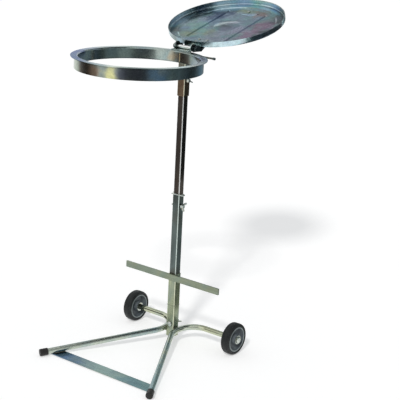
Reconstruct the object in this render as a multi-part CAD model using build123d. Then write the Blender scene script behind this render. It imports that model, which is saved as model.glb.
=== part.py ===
from build123d import *
import math
import os

# Refuse sack stand on two wheels: a square telescopic post, a hoop for the sack and a hinged lid.
# Millimetres. +X points to the right wheel, -Y to the feet and the sack, +Z up, the floor is z = 0.

# Wheels
tyre_diameter = 100
tyre_width = 30
tyre_shoulder = 6
rim_diameter = 79
rim_width = 27
rim_wall = 4
rim_web = 5
hub_diameter = 32
hub_length = 31
wheel_track = 396
axle_back = 56

# Axles: a bolt in the end of each leg tube, with a lock nut, washers and a push-on cap
axle_diameter = 10
axle_washer_diameter = 28
axle_washer_thickness = 2
axle_nut_flats = 17
axle_nut_height = 8
axle_cap_diameter = 20
axle_cap_height = 5
axle_plug_length = 22

# Legs: one bent round tube on each side
leg_diameter = 18
leg_wall = 1.5
leg_bend_radius = 68
foot_reach = 372
foot_spread = 432
foot_cap_length = 25
foot_cap_wall = 2
foot_cap_rounding = 2.5
foot_bar_width = 35
foot_bar_thickness = 3
foot_bar_reach = 340
foot_bar_overhang = 5

# Square post tubes and the sleeves around them
post_lower_size = 25
post_lower_wall = 1
post_upper_wall = 1.2
post_corner = 3
post_lower_top = 485
post_lower_bottom = 24
post_upper_bottom = 230
sleeve_wall = 1.4
sleeve_play = 0.1
slide_play = 0.2
base_socket_bottom = 21
base_socket_height = 104
crossbar_sleeve_height = 104
crossbar_length = 366
crossbar_height = 20
crossbar_thickness = 5
post_travel = 200
side_hole_diameter = 5
side_hole_above_bolt = 10

# Screws and wing nuts
base_bolt_diameter = 8
base_bolt_height = 62
base_bolt_head_diameter = 17
base_bolt_head_height = 4.5
base_wing_turn = 90
post_screw_diameter = 6
post_screw_below_rim = 36
post_screw_tail = 5
post_wing_turn = 152
post_nut_flats = 10
post_nut_height = 5
socket_screw_above = 48
socket_nut_flats = 10
socket_nut_height = 2.5
socket_wing_turn = 60
socket_hub_height = 6
socket_wing_height = 9.5
wing_hub_diameter = 12
wing_hub_height = 9
wing_hub_taper = 1
wing_span = 30
wing_height = 15
wing_thickness = 3
washer_thickness = 1.5
washer_overhang = 4
hole_play = 0.3
thread_play = 0.08
press_play = 0.1

# Height clip: bent wire through the upper tube and back across its front, on the lower tube's rim
height_clip_diameter = 4
height_clip_tail = 8
height_clip_reach = 7
height_clip_front_tail = 3
height_clip_play = 0.3
rest_gap = 0.3

# Ring: hoop with an outward flange, a flat band under it and the socket on the post
ring_top = 929
band_to_post = 27
hoop_inner_diameter = 344
hoop_thickness = 1.5
hoop_bend = 4
hoop_height = 31
flange_width = 21.5
band_inset = 10.5
band_thickness = 3
band_drop = 35
top_socket_wall = 2
top_socket_height = 137
top_socket_play = 0.2
post_upper_gap = 8
stay_width = 20
stay_height = 22
peg_diameter = 6
peg_reach = 99
peg_below_flange = 14
peg_cap_length = 7
peg_cap_wall = 0.8

# Lid: pressed round pan with a raised panel, a dished middle, two ribs and a seat for the knob
lid_overlap = 8.5
lid_thickness = 1
lid_skirt = 18
lid_corner = 5
lid_border = 30.5
lid_panel_rise = 2
lid_panel_slope = 4
lid_dish_diameter = 84
lid_dish_depth = 4
lid_rib_from_dish = 28
lid_rib_end_border = 35
lid_rib_width = 12
lid_rib_height = 2.5
lid_press_angle = 40
lid_opening = 164
knob_from_panel_edge = 32
knob_diameter = 32
knob_foot_diameter = 19
knob_neck_diameter = 14
knob_crown_diameter = 16
knob_height = 24
knob_seat_length = 80
knob_seat_width = 44
knob_seat_depth = 1.2
knob_screw_diameter = 5

# Lid hinge: a folded bracket on the ring, one on the lid, and a bolt with a spacer tube
hinge_above_flange = 8.3
ring_bracket_thickness = 2.5
ring_bracket_width = 62
ring_bracket_front = 27
ring_bracket_stop = 34
ring_ear_radius = 15
lid_bracket_thickness = 2.5
lid_bracket_length = 72
lid_bracket_play = 0.5
lid_ear_radius = 11
lid_ear_neck = 2
lid_ear_depth = 10
lid_gusset_height = 7
lid_gusset_length = 22
hinge_bolt_diameter = 8
hinge_bolt_flats = 13
hinge_head_height = 5.3
hinge_nut_height = 8
hinge_washer_diameter = 18
hinge_spacer_diameter = 11
hinge_pin_play = 0.06
spacer_end_play = 0.2
rivet_diameter = 5
rivet_play = 0.05
rivet_head_diameter = 9
rivet_head_height = 2
rivet_spacing = 30
rivet_row_pitch = 18
rivet_from_hinge = 87

# Places worked out from the sizes above
wheel_x = wheel_track / 2
axle_height = tyre_diameter / 2
post_upper_size = post_lower_size - 2 * post_lower_wall - 2 * slide_play
sleeve_size = post_lower_size + 2 * sleeve_play + 2 * sleeve_wall
top_socket_size = post_upper_size + 2 * top_socket_play + 2 * top_socket_wall
base_socket_top = base_socket_bottom + base_socket_height
crossbar_sleeve_top = base_socket_top + crossbar_sleeve_height
top_socket_bottom = ring_top - top_socket_height
hub_side = hub_length / 2 + rest_gap
leg_end_x = wheel_x - hub_side - axle_washer_thickness - axle_nut_height
leg_bend_x = sleeve_size / 2 + leg_diameter / 2 + leg_bend_radius
foot_cap_diameter = leg_diameter + 2 * sleeve_play + 2 * foot_cap_wall
hinge_z = ring_top + hinge_above_flange
lid_rim_z = ring_top + rest_gap
lid_plate_z = lid_rim_z + lid_skirt + lid_panel_rise
lid_ear_x = ring_bracket_width / 2 + lid_bracket_play
hinge_face = lid_ear_x + lid_bracket_thickness + rest_gap
axle_tip_x = wheel_x + hub_side + axle_washer_thickness + axle_cap_height / 2
post_screw_height = post_lower_top - post_screw_below_rim
side_hole_z = base_bolt_height + side_hole_above_bolt
height_clip_z = post_lower_top + rest_gap + height_clip_diameter / 2
height_clip_front = post_upper_size / 2 + height_clip_play + height_clip_diameter / 2
flange_diameter = hoop_inner_diameter + 2 * flange_width
band_diameter = flange_diameter - 2 * band_inset
ring_forward = band_diameter / 2 + band_to_post
lid_diameter = hoop_inner_diameter + 2 * lid_overlap
lid_panel_diameter = lid_diameter - 2 * lid_border
lid_rib_spacing = lid_dish_diameter + 2 * lid_rib_from_dish
lid_rib_length = lid_panel_diameter - 2 * lid_rib_end_border
knob_forward = lid_panel_diameter / 2 - knob_from_panel_edge
peg_y = top_socket_size / 2 + peg_diameter / 2
peg_z = ring_top - hoop_thickness - peg_below_flange
socket_screw_z = top_socket_bottom + socket_screw_above


def mirror_side(piece, side):
    """Gives the right-hand piece for side = 1 and its mirror image for side = -1"""
    if side > 0:
        return piece
    return mirror(piece, about=Plane.YZ)


def square_tube(size, wall, bottom, top):
    """Upright square tube with rounded corners, centred on the post"""
    inner_corner = max(post_corner - wall, 0.3)
    outline = RectangleRounded(size, size, post_corner)
    bore = RectangleRounded(size - 2 * wall, size - 2 * wall, inner_corner)
    return Pos(0, 0, bottom) * extrude(outline - bore, amount=top - bottom)


def rod(diameter, start, end):
    """Round rod between two points"""
    line = Vector(*end) - Vector(*start)
    plane = Plane(origin=start, z_dir=line)
    return extrude(plane * Circle(diameter / 2), amount=line.length)


def ring_about(diameter, bore, start, end):
    """Round tube or washer between two points"""
    return rod(diameter, start, end) - rod(bore, start, end)


def hexagon(flats, start, end):
    """Hexagonal head or nut between two points, with its corners turned off"""
    line = Vector(*end) - Vector(*start)
    plane = Plane(origin=start, z_dir=line)
    corner = flats / math.sqrt(3)
    prism = extrude(plane * RegularPolygon(corner, 6), amount=line.length)
    drum = extrude(plane * Circle(corner), amount=line.length)
    return prism & chamfer(drum.edges(), (corner - flats / 2) * 0.8, (corner - flats / 2) * 1.3)


# Leg tubes: each runs straight back from its foot, touches the side of the base socket
# in its bend and turns outward to the wheel. The tube lies in one sloping plane.
foot_x = foot_spread / 2
leg_slope = math.atan2(axle_height - foot_cap_diameter / 2, axle_back + foot_reach)
leg_plane = Plane(
    origin=(0, axle_back, axle_height),
    x_dir=(1, 0, 0),
    z_dir=(0, -math.sin(leg_slope), math.cos(leg_slope)),
)
foot_v = -(axle_back + foot_reach) / math.cos(leg_slope)
bend_centre = Vector(leg_bend_x, -leg_bend_radius)
to_bend = bend_centre - Vector(foot_x, foot_v)
leg_heading = math.degrees(math.atan2(to_bend.Y, to_bend.X) + math.asin(leg_bend_radius / to_bend.length))
leg_along = Vector(math.cos(math.radians(leg_heading)), math.sin(math.radians(leg_heading)))
bend_start = bend_centre + leg_along.rotate(Axis.Z, 90) * leg_bend_radius
foot_end = Vector(foot_x, foot_v) + leg_along * foot_cap_wall


def make_leg_tube():
    straight = Line(foot_end, bend_start)
    bend = CenterArc(bend_centre, leg_bend_radius, leg_heading + 90, -leg_heading)
    wheel_end = Line((leg_bend_x, 0), (leg_end_x, 0))
    path = leg_plane * Wire([straight, bend, wheel_end])
    section = Plane(origin=path @ 0, z_dir=path % 0)
    outside = sweep(section * Circle(leg_diameter / 2), path=path)
    inside = sweep(section * Circle(leg_diameter / 2 - leg_wall), path=path)
    return outside - inside


def leg_point(distance):
    """Point of the leg's middle line, at a distance from the outer end of the foot cap"""
    return leg_plane.from_local_coords(Vector(foot_x, foot_v) + leg_along * distance)


def make_foot_cap():
    bore = leg_diameter + 2 * sleeve_play
    body = rod(foot_cap_diameter, leg_point(0), leg_point(foot_cap_length))
    body = fillet(body.edges().filter_by(GeomType.CIRCLE).sort_by(Axis.Y)[0], foot_cap_rounding)
    return body - rod(bore, leg_point(foot_cap_wall), leg_point(foot_cap_length + 1))


def leg_x_at(v):
    """How far out the leg's middle line is at a place along the sloping plane"""
    return foot_x + (v - foot_v) * leg_along.X / leg_along.Y


def make_foot_bar():
    """Flat bar welded under both legs, its ends cut along them"""
    front = -(axle_back + foot_bar_reach) / math.cos(leg_slope)
    back = front + foot_bar_width
    front_x = leg_x_at(front) + foot_bar_overhang
    back_x = leg_x_at(back) + foot_bar_overhang
    corners = [(-front_x, front), (front_x, front), (back_x, back), (-back_x, back)]
    outline = Polygon(*corners, align=None)
    under = leg_plane.offset(-leg_diameter / 2 - foot_bar_thickness)
    return extrude(under * outline, amount=foot_bar_thickness)


# Wheels: a rubber tyre on a dished plastic rim with a long hub
def make_tyre():
    radius = tyre_diameter / 2
    half = tyre_width / 2
    seat = rim_diameter / 2
    profile = Polyline((-half + 1.5, seat), (-half, seat + 1.5), (-half, radius - tyre_shoulder))
    profile += ThreePointArc(
        (-half, radius - tyre_shoulder),
        (-half + tyre_shoulder * 0.29, radius - tyre_shoulder * 0.29),
        (-half + tyre_shoulder, radius),
    )
    profile += Line((-half + tyre_shoulder, radius), (0, radius))
    profile += Line((0, radius), (0, seat))
    profile += Line((0, seat), (-half + 1.5, seat))
    half_tyre = Plane.XY * make_face(profile)
    return wheel_place(revolve(half_tyre + mirror(half_tyre, about=Plane.YZ), Axis.X))


def wheel_place(piece):
    return Pos(wheel_x, axle_back, axle_height) * piece


def make_rim():
    """Dished wheel: hub, thin web and a deep outer wall, turned from one section"""
    outer = rim_diameter / 2 - press_play / 2
    inner = outer - rim_wall
    hub = hub_diameter / 2
    bore = axle_diameter / 2 + sleeve_play
    half = rim_width / 2
    web = rim_web / 2
    profile = Polyline(
        (-hub_length / 2, bore),
        (hub_length / 2, bore),
        (hub_length / 2, hub - 3),
        (half - 4, hub),
        (web + 1, hub + 3),
        (web, hub + 8),
        (web, inner - 6),
        (half - 2, inner - 0.5),
        (half, inner),
        (half, outer),
        (-half, outer),
        (-half, inner),
        (-half + 2, inner - 0.5),
        (-web, inner - 6),
        (-web, hub + 8),
        (-web - 1, hub + 3),
        (-half + 4, hub),
        (-hub_length / 2, hub - 3),
        close=True,
    )
    return wheel_place(revolve(make_face(profile), Axis.X))


# Axles, worked out from the hub outward
def on_axle(x):
    return (x, axle_back, axle_height)


def make_axle_bolt():
    return rod(axle_diameter, on_axle(leg_end_x - axle_plug_length), on_axle(axle_tip_x))


def make_axle_plug():
    """Threaded plug pressed in the tube's end, for the axle bolt"""
    diameter = leg_diameter - 2 * leg_wall - press_play
    start = on_axle(leg_end_x - axle_plug_length)
    return ring_about(diameter, axle_diameter + press_play, start, on_axle(leg_end_x))


def make_axle_nut():
    start = on_axle(leg_end_x)
    end = on_axle(leg_end_x + axle_nut_height)
    return hexagon(axle_nut_flats, start, end) - rod(axle_diameter + press_play, start, end)


def make_axle_washers():
    """One washer on either side of the hub"""
    bore = axle_diameter + press_play
    inner = on_axle(wheel_x - hub_side - axle_washer_thickness)
    outer = on_axle(wheel_x + hub_side + axle_washer_thickness)
    inside = ring_about(axle_washer_diameter, bore, inner, on_axle(wheel_x - hub_side))
    outside = ring_about(axle_washer_diameter, bore, on_axle(wheel_x + hub_side), outer)
    return Compound([inside, outside])


def make_axle_cap():
    """Domed push-on cap over the axle's outer end"""
    start = wheel_x + hub_side + axle_washer_thickness
    dome = rod(axle_cap_diameter, on_axle(start), on_axle(start + axle_cap_height))
    dome = fillet(dome.edges().sort_by(Axis.X)[-1], axle_cap_height * 0.6)
    return dome - rod(axle_diameter + press_play, on_axle(start), on_axle(axle_tip_x + press_play))


# Base socket, crossbar sleeve and post tubes
def side_hole(diameter, z, depth):
    """Cutter for a hole through the post along X"""
    return rod(diameter, (-depth, 0, z), (depth, 0, z))


def front_hole(diameter, z, depth):
    """Cutter for a hole through the post along Y"""
    return rod(diameter, (0, -depth, z), (0, depth, z))


def make_base_socket():
    tube = square_tube(sleeve_size, sleeve_wall, base_socket_bottom, base_socket_top)
    tube -= front_hole(base_bolt_diameter + 2 * hole_play, base_bolt_height, sleeve_size)
    return tube - side_hole(side_hole_diameter, side_hole_z, sleeve_size)


def make_crossbar():
    bar = Box(crossbar_length, crossbar_thickness, crossbar_height)
    bar = fillet(bar.edges().filter_by(Axis.Y), 1)
    middle_y = -(sleeve_size + crossbar_thickness) / 2
    return Pos(0, middle_y, crossbar_sleeve_top - crossbar_height / 2) * bar


def make_lower_post_tube():
    tube = square_tube(post_lower_size, post_lower_wall, post_lower_bottom, post_lower_top)
    tube -= front_hole(base_bolt_diameter + 2 * hole_play, base_bolt_height, post_lower_size)
    tube -= side_hole(side_hole_diameter, side_hole_z, post_lower_size)
    return tube - side_hole(post_screw_diameter + 2 * hole_play, post_screw_height, post_lower_size)


def make_upper_post_tube():
    """Inner tube, with a slot down both sides for the clamp screw and a hole for the height clip"""
    tube = square_tube(post_upper_size, post_upper_wall, post_upper_bottom, ring_top - post_upper_gap)
    slot_width = post_screw_diameter + 4 * hole_play
    slot_length = post_travel + slot_width
    slot = Plane.YZ * Rot(0, 0, 90) * SlotOverall(slot_length, slot_width)
    slot_middle = post_screw_height - post_travel / 2
    tube -= Pos(0, 0, slot_middle) * extrude(slot, amount=post_upper_size, both=True)
    return tube - side_hole(height_clip_diameter + 2 * sleeve_play, height_clip_z, post_upper_size)


def make_height_clip():
    """Wire straight through the tube, round in a half circle and back across the tube's front"""
    start = -post_lower_size / 2 - height_clip_tail
    out = post_lower_size / 2 + height_clip_reach
    end = -post_lower_size / 2 - height_clip_front_tail
    loop = height_clip_front / 2
    path = Line((start, 0), (out, 0))
    path += CenterArc((out, -loop), loop, 90, -180)
    path += Line((out, -height_clip_front), (end, -height_clip_front))
    path = Wire(path.edges())
    section = Plane(origin=path @ 0, z_dir=path % 0)
    return Pos(0, 0, height_clip_z) * sweep(section * Circle(height_clip_diameter / 2), path=path)


# Wing nuts and wing screws, made standing on z = 0 and laid on their axis
def make_wing_head(bore, hub_height, height):
    """Tapered hub with a wing on either side; a wing nut when it has a bore"""
    foot = wing_hub_diameter / 2 + wing_hub_taper
    crown = wing_hub_diameter / 2 - wing_hub_taper
    hub = Pos(0, 0, hub_height / 2) * Cone(foot, crown, hub_height)
    reach = wing_span / 2
    root = wing_hub_diameter / 2 - 2
    outline = Polygon(
        (root, 1.5),
        (reach - 4, height * 0.42),
        (reach, height * 0.8),
        (reach - 2, height),
        (reach - 7, height * 0.9),
        (root, hub_height * 0.85),
        align=None,
    )
    outline = fillet(outline.vertices().sort_by(Axis.X)[2:], 1.4)
    wing = extrude(Plane.XZ * outline, amount=wing_thickness / 2, both=True)
    head = hub + wing + mirror(wing, about=Plane.YZ)
    if bore:
        head -= Cylinder(bore / 2, 4 * hub_height)
    return head


def on_post(piece, direction, z, out, turn):
    """Lays a piece on an axis that leaves the post along direction, out from its middle"""
    start = Vector(*direction) * out + Vector(0, 0, z)
    return Plane(origin=start, z_dir=direction) * Rot(0, 0, turn) * piece


def make_base_bolt():
    """Round-head bolt from the front, long enough for the wing nut behind"""
    face = sleeve_size / 2
    tail = face + washer_thickness + wing_hub_height + 4
    seat = (0, -face, base_bolt_height)
    crown = (0, -face - base_bolt_head_height, base_bolt_height)
    shank = rod(base_bolt_diameter, seat, (0, tail, base_bolt_height))
    head = rod(base_bolt_head_diameter, seat, crown)
    head = fillet(head.edges().sort_by(Axis.Y)[0], base_bolt_head_height * 0.8)
    return shank + head


def make_base_washer():
    face = sleeve_size / 2
    start = (0, face, base_bolt_height)
    end = (0, face + washer_thickness, base_bolt_height)
    return ring_about(base_bolt_diameter + 2 * washer_overhang, base_bolt_diameter + 0.4, start, end)


def make_base_wing_nut():
    out = sleeve_size / 2 + washer_thickness + rest_gap
    bore = base_bolt_diameter + 2 * thread_play
    head = make_wing_head(bore, wing_hub_height, wing_height)
    return on_post(head, (0, 1, 0), base_bolt_height, out, base_wing_turn)


def make_post_screw():
    """Wing screw through both post tubes, its thread standing out of the nut on the left"""
    face = post_lower_size / 2
    out = face + washer_thickness + rest_gap
    tail = -face - post_nut_height - post_screw_tail
    wings = make_wing_head(0, wing_hub_height, wing_height)
    head = on_post(wings, (1, 0, 0), post_screw_height, out, post_wing_turn)
    return head + rod(post_screw_diameter, (tail, 0, post_screw_height), (out + 1, 0, post_screw_height))


def make_post_washer():
    face = post_lower_size / 2
    bore = post_screw_diameter + 2 * hole_play
    start = (face, 0, post_screw_height)
    end = (face + washer_thickness, 0, post_screw_height)
    return ring_about(post_screw_diameter + 2 * washer_overhang, bore, start, end)


def make_post_nut():
    face = post_lower_size / 2
    start = (-face, 0, post_screw_height)
    end = (-face - post_nut_height, 0, post_screw_height)
    return hexagon(post_nut_flats, start, end) - rod(post_screw_diameter + 2 * thread_play, start, end)


# Ring: everything that turns about the sack's middle line
def ring_place(piece):
    return Pos(0, -ring_forward, ring_top) * piece


def make_bag_hoop():
    """Rolled hoop, its top edge turned outward into a flange"""
    inner = hoop_inner_diameter / 2
    outer = inner + hoop_thickness
    edge = flange_diameter / 2
    bend_in = hoop_bend - hoop_thickness
    profile = Line((inner, -hoop_height), (inner, -hoop_bend))
    profile += RadiusArc((inner, -hoop_bend), (inner + hoop_bend, 0), hoop_bend)
    profile += Line((inner + hoop_bend, 0), (edge, 0))
    profile += Line((edge, 0), (edge, -hoop_thickness))
    profile += Line((edge, -hoop_thickness), (inner + hoop_bend, -hoop_thickness))
    profile += RadiusArc((inner + hoop_bend, -hoop_thickness), (outer, -hoop_bend), -bend_in)
    profile += Line((outer, -hoop_bend), (outer, -hoop_height))
    profile += Line((outer, -hoop_height), (inner, -hoop_height))
    return ring_place(revolve(Plane.XZ * make_face(profile), Axis.Z))


def make_outer_band():
    band = Cylinder(band_diameter / 2, band_drop - hoop_thickness)
    band -= Cylinder(band_diameter / 2 - band_thickness, 2 * band_drop)
    return ring_place(Pos(0, 0, -(band_drop + hoop_thickness) / 2) * band)


def make_ring_stay():
    """Block that joins the band to the front of the top socket, hollowed to fit the band"""
    front = -ring_forward + band_diameter / 2 - stay_width / 4
    back = -top_socket_size / 2
    top = ring_top - hoop_thickness
    block = Pos(0, (front + back) / 2, top - stay_height / 2) * Box(stay_width, back - front, stay_height)
    return block - Pos(0, -ring_forward, top) * Cylinder(band_diameter / 2, 3 * stay_height)


def make_top_socket():
    tube = square_tube(top_socket_size, top_socket_wall, top_socket_bottom, ring_top)
    middle = (0, 0, socket_screw_z)
    return tube - rod(post_screw_diameter + 2 * hole_play, middle, (top_socket_size, 0, socket_screw_z))


def make_socket_nut():
    """Nut welded on the socket's right face"""
    start = (top_socket_size / 2, 0, socket_screw_z)
    end = (top_socket_size / 2 + socket_nut_height, 0, socket_screw_z)
    return hexagon(socket_nut_flats, start, end) - rod(post_screw_diameter + 2 * thread_play, start, end)


def make_socket_screw():
    """Wing screw in the welded nut, pressing on the upper tube"""
    out = top_socket_size / 2 + socket_nut_height + rest_gap
    tip = (post_upper_size / 2 + sleeve_play, 0, socket_screw_z)
    wings = make_wing_head(0, socket_hub_height, socket_wing_height)
    head = on_post(wings, (1, 0, 0), socket_screw_z, out, socket_wing_turn)
    return head + rod(post_screw_diameter, tip, (out + 1, 0, socket_screw_z))


def make_roll_peg():
    """Round rod welded across the back of the socket and standing out to the right"""
    return rod(peg_diameter, (-top_socket_size / 2, peg_y, peg_z), (peg_reach - peg_cap_wall, peg_y, peg_z))


def make_peg_cap():
    bore = peg_diameter + press_play
    start = peg_reach - peg_cap_length
    cap = rod(bore + 2 * peg_cap_wall, (start, peg_y, peg_z), (peg_reach, peg_y, peg_z))
    cap = fillet(cap.edges().sort_by(Axis.X)[-1], peg_cap_wall)
    return cap - rod(bore, (start - 1, peg_y, peg_z), (peg_reach - peg_cap_wall, peg_y, peg_z))


# Hinge: the ring's bracket sits on the flange and on the top of the socket
def make_ring_bracket():
    half = ring_bracket_width / 2
    length = ring_bracket_front + ring_bracket_stop
    middle = (ring_bracket_stop - ring_bracket_front) / 2
    plate = Box(2 * half, length, ring_bracket_thickness)
    plate = Pos(0, middle, ring_top + ring_bracket_thickness / 2) * plate
    plate = fillet(plate.edges().filter_by(Axis.Z).sort_by(Axis.Y)[2:], 4)
    radius = ring_ear_radius
    lower = Pos(0, -hinge_above_flange / 2) * Rectangle(2 * radius, hinge_above_flange)
    outline = lower + Circle(radius)
    outline -= Pos(0, -hinge_above_flange - radius) * Rectangle(3 * radius, 2 * radius)
    plane = Plane(origin=(half - ring_bracket_thickness, 0, hinge_z), x_dir=(0, 1, 0), z_dir=(1, 0, 0))
    ear = extrude(plane * outline, amount=ring_bracket_thickness)
    bracket = plate + ear + mirror(ear, about=Plane.YZ)
    return bracket - side_hole(hinge_bolt_diameter + press_play, hinge_z, half + 1)


def make_hinge_spacer():
    half = ring_bracket_width / 2 - ring_bracket_thickness - spacer_end_play
    bore = hinge_bolt_diameter + 2 * sleeve_play
    return ring_about(hinge_spacer_diameter, bore, (-half, 0, hinge_z), (half, 0, hinge_z))


def make_hinge_bolt():
    seat = hinge_face + washer_thickness
    tip = seat + hinge_nut_height + 1
    head = hexagon(hinge_bolt_flats, (-seat, 0, hinge_z), (-seat - hinge_head_height, 0, hinge_z))
    return head + rod(hinge_bolt_diameter, (-seat, 0, hinge_z), (tip, 0, hinge_z))


def make_hinge_washers():
    bore = hinge_bolt_diameter + 2 * sleeve_play
    end = (hinge_face + washer_thickness, 0, hinge_z)
    right = ring_about(hinge_washer_diameter, bore, (hinge_face, 0, hinge_z), end)
    return Compound([right, mirror(right, about=Plane.YZ)])


def make_hinge_nut():
    """Lock nut: a hexagon with a round collar on its outer end"""
    seat = hinge_face + washer_thickness
    shoulder = seat + hinge_nut_height * 0.7
    nut = hexagon(hinge_bolt_flats, (seat, 0, hinge_z), (shoulder, 0, hinge_z))
    nut += rod(hinge_bolt_flats - 2, (shoulder, 0, hinge_z), (seat + hinge_nut_height, 0, hinge_z))
    outer = (seat + hinge_nut_height + 1, 0, hinge_z)
    return nut - rod(hinge_bolt_diameter + press_play, (0, 0, hinge_z), outer)


# Lid, made closed on the ring and then swung open about the hinge
def swung_open(piece):
    return piece.rotate(Axis((0, 0, hinge_z), (1, 0, 0)), -lid_opening)


def lid_place(piece):
    return Pos(0, -ring_forward, lid_rim_z) * piece


def knob_spot(height):
    return Pos(0, -knob_forward, height)


def pressed_body(sink):
    """Solid under one face of the pan; sink is how far that face lies inside the outer one"""
    radius = lid_diameter / 2 - sink
    corner = lid_corner - sink
    skirt = lid_skirt - sink
    panel = lid_panel_diameter / 2 - sink / 2
    slope = panel + lid_panel_slope
    top = skirt + lid_panel_rise
    outline = Polyline((0, 0), (radius, 0), (radius, skirt - corner))
    outline += RadiusArc((radius, skirt - corner), (radius - corner, skirt), -corner)
    outline += Polyline((radius - corner, skirt), (slope, skirt), (panel, top), (0, top), (0, 0))
    body = revolve(Plane.XZ * make_face(outline), Axis.Z)
    # Two long ribs stand up from the panel
    for side in (-1, 1):
        place = Pos(side * lid_rib_spacing / 2, 0, top) * Rot(0, 0, 90)
        rib = SlotOverall(lid_rib_length - 2 * sink, lid_rib_width - 2 * sink)
        body += place * extrude(rib, amount=lid_rib_height, taper=lid_press_angle)
    # The middle is dished by a large ball, and the knob's seat is a shallow oval
    ball = (lid_dish_diameter**2 / 4 + lid_dish_depth**2) / (2 * lid_dish_depth)
    body -= Pos(0, 0, top - lid_dish_depth + sink + ball) * Sphere(ball + sink)
    draft = knob_seat_depth / math.tan(math.radians(lid_press_angle))
    mouth = Ellipse(knob_seat_length / 2 + sink, knob_seat_width / 2 + sink)
    floor = Ellipse(knob_seat_length / 2 + sink - draft, knob_seat_width / 2 + sink - draft)
    return body - loft([knob_spot(top) * mouth, knob_spot(top - knob_seat_depth) * floor])


def make_lid_pan():
    top = lid_skirt + lid_panel_rise
    pan = pressed_body(0) - pressed_body(lid_thickness)
    pan -= knob_spot(top) * Cylinder(knob_screw_diameter / 2 + hole_play, 4 * top)
    for spot in rivet_places().locations:
        pan -= spot * Cylinder(rivet_diameter / 2 + rivet_play, top)
    return swung_open(lid_place(pan))


def rivet_places():
    """Middles of the four rivets, from the lid's middle, at the height of the panel's outer face"""
    first = ring_forward - rivet_from_hinge
    rows = (first, first + rivet_row_pitch)
    spots = [(x, y) for x in (-rivet_spacing / 2, rivet_spacing / 2) for y in rows]
    return Locations(*[(x, y, lid_skirt + lid_panel_rise) for x, y in spots])


def make_lid_rivets():
    """Rivets through the lid and its bracket, each with a domed head on both sides"""
    depth = lid_thickness
    over = lid_bracket_thickness
    head = Cylinder(rivet_head_diameter / 2, rivet_head_height)
    head = fillet(head.edges().sort_by(Axis.Z)[-1], rivet_head_height * 0.8)
    upper = Pos(0, 0, over + rivet_head_height / 2) * head
    lower = Pos(0, 0, -depth - rivet_head_height / 2) * Rot(180, 0, 0) * head
    shank = Pos(0, 0, (over - depth) / 2) * Cylinder(rivet_diameter / 2, over + depth)
    rivet = upper + shank + lower
    return swung_open(lid_place(Compound([spot * rivet for spot in rivet_places().locations])))


def make_lid_bracket():
    """Plate riveted on the lid, its two sides carried on past the rim as ears for the hinge"""
    plate_low = lid_plate_z - hinge_z
    plate_high = plate_low + lid_bracket_thickness
    opening = math.radians(lid_opening)
    stop = ring_bracket_thickness - hinge_above_flange + rest_gap
    edge = -(stop - plate_high * math.cos(opening)) / math.sin(opening)
    tail = edge - lid_bracket_length
    outer = lid_ear_x + lid_bracket_thickness
    plate = Pos(0, (edge + tail) / 2, lid_plate_z + lid_bracket_thickness / 2) * Box(
        2 * outer, edge - tail, lid_bracket_thickness
    )
    plate = fillet(plate.edges().filter_by(Axis.Z).sort_by(Axis.Y)[:2], 8)
    neck = edge + lid_ear_neck
    blade = Polygon(
        (0, -lid_ear_radius),
        (0, lid_ear_radius),
        (edge, plate_high + lid_gusset_height),
        (edge - lid_gusset_length, plate_high),
        (edge - lid_gusset_length, plate_low),
        (neck, plate_low),
        (neck, plate_low - lid_ear_depth),
        align=None,
    )
    outline = blade + Circle(lid_ear_radius)
    plane = Plane(origin=(lid_ear_x, 0, hinge_z), x_dir=(0, 1, 0), z_dir=(1, 0, 0))
    ear = extrude(plane * outline, amount=lid_bracket_thickness)
    bracket = plate + ear + mirror(ear, about=Plane.YZ)
    bracket -= side_hole(hinge_bolt_diameter + 2 * hinge_pin_play, hinge_z, outer + 1)
    for spot in rivet_places().locations:
        bracket -= lid_place(spot * Cylinder(rivet_diameter / 2 + rivet_play, 8 * lid_bracket_thickness))
    return swung_open(bracket)


def make_lid_knob():
    """Round-topped knob on the seat pressed in the lid"""
    foot = lid_skirt + lid_panel_rise - knob_seat_depth
    radius = knob_diameter / 2
    neck = (knob_neck_diameter / 2, knob_height * 0.4)
    crown = (knob_crown_diameter / 2, knob_height)
    profile = Polyline((0, 0), (knob_foot_diameter / 2, 0), neck)
    profile += ThreePointArc(neck, (radius, knob_height * 0.7), crown)
    profile += Polyline(crown, (0, knob_height), (0, 0))
    knob = revolve(Plane.XZ * make_face(profile), Axis.Z)
    knob -= Cylinder(knob_screw_diameter / 2 + thread_play, knob_height)
    return swung_open(lid_place(knob_spot(foot) * knob))


def make_knob_screw():
    """Pan-head screw from inside the lid into the knob"""
    face = lid_skirt + lid_panel_rise - knob_seat_depth - lid_thickness
    head = Cylinder(knob_screw_diameter, 3, align=(Align.CENTER, Align.CENTER, Align.MAX))
    head = fillet(head.edges().sort_by(Axis.Z)[0], 1.2)
    length = knob_height * 0.45
    shank = Pos(0, 0, length / 2) * Cylinder(knob_screw_diameter / 2, length)
    return swung_open(lid_place(knob_spot(face) * (head + shank)))


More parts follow.
